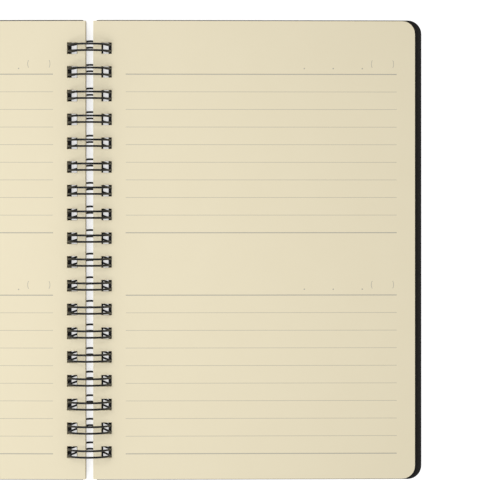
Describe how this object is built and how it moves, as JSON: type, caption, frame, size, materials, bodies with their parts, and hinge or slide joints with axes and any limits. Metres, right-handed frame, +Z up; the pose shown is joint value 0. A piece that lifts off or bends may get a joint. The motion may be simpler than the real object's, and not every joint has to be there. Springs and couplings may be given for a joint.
{
  "type": "open wire-bound notebook",
  "caption": "Notebook lying open, with ruled cream leaves in two punched blocks between plain dark covers, held by a twin-loop wire along the spine.",
  "frame": {"origin": "on the table under the middle of the spine", "axes": "+X across the spread to the right-hand leaf, +Y to the head of the leaves, +Z up"},
  "size_m": [0.2646, 0.1834, 0.0174],
  "materials": {
    "wire": "black coated wire, satin",
    "cover": "black, matte",
    "leaf": "cream uncoated paper"
  },
  "bodies": {
    "binding": {"wire_binding": "wire"},
    "front_cover": {"front_cover": "cover"},
    "left_leaves": {"left_leaves": "leaf"},
    "back_cover": {"back_cover": "cover"},
    "right_leaves": {"right_leaves": "leaf"}
  },
  "joints": [
    {"name": "front_cover_turn", "type": "hinge", "parent": "binding", "child": "front_cover", "pos_m": [0, 0, 0.0087], "axis": [0, 1, 0], "range_deg": [0, 182]},
    {"name": "left_leaves_turn", "type": "hinge", "parent": "front_cover", "child": "left_leaves", "pos_m": [0, 0, 0.0087], "axis": [0, 1, 0], "range_deg": [0, 178]},
    {"name": "back_cover_turn", "type": "hinge", "parent": "binding", "child": "back_cover", "pos_m": [0, 0, 0.0087], "axis": [0, -1, 0], "range_deg": [0, 182]},
    {"name": "right_leaves_turn", "type": "hinge", "parent": "back_cover", "child": "right_leaves", "pos_m": [0, 0, 0.0087], "axis": [0, -1, 0], "range_deg": [0, 178]}
  ]
}
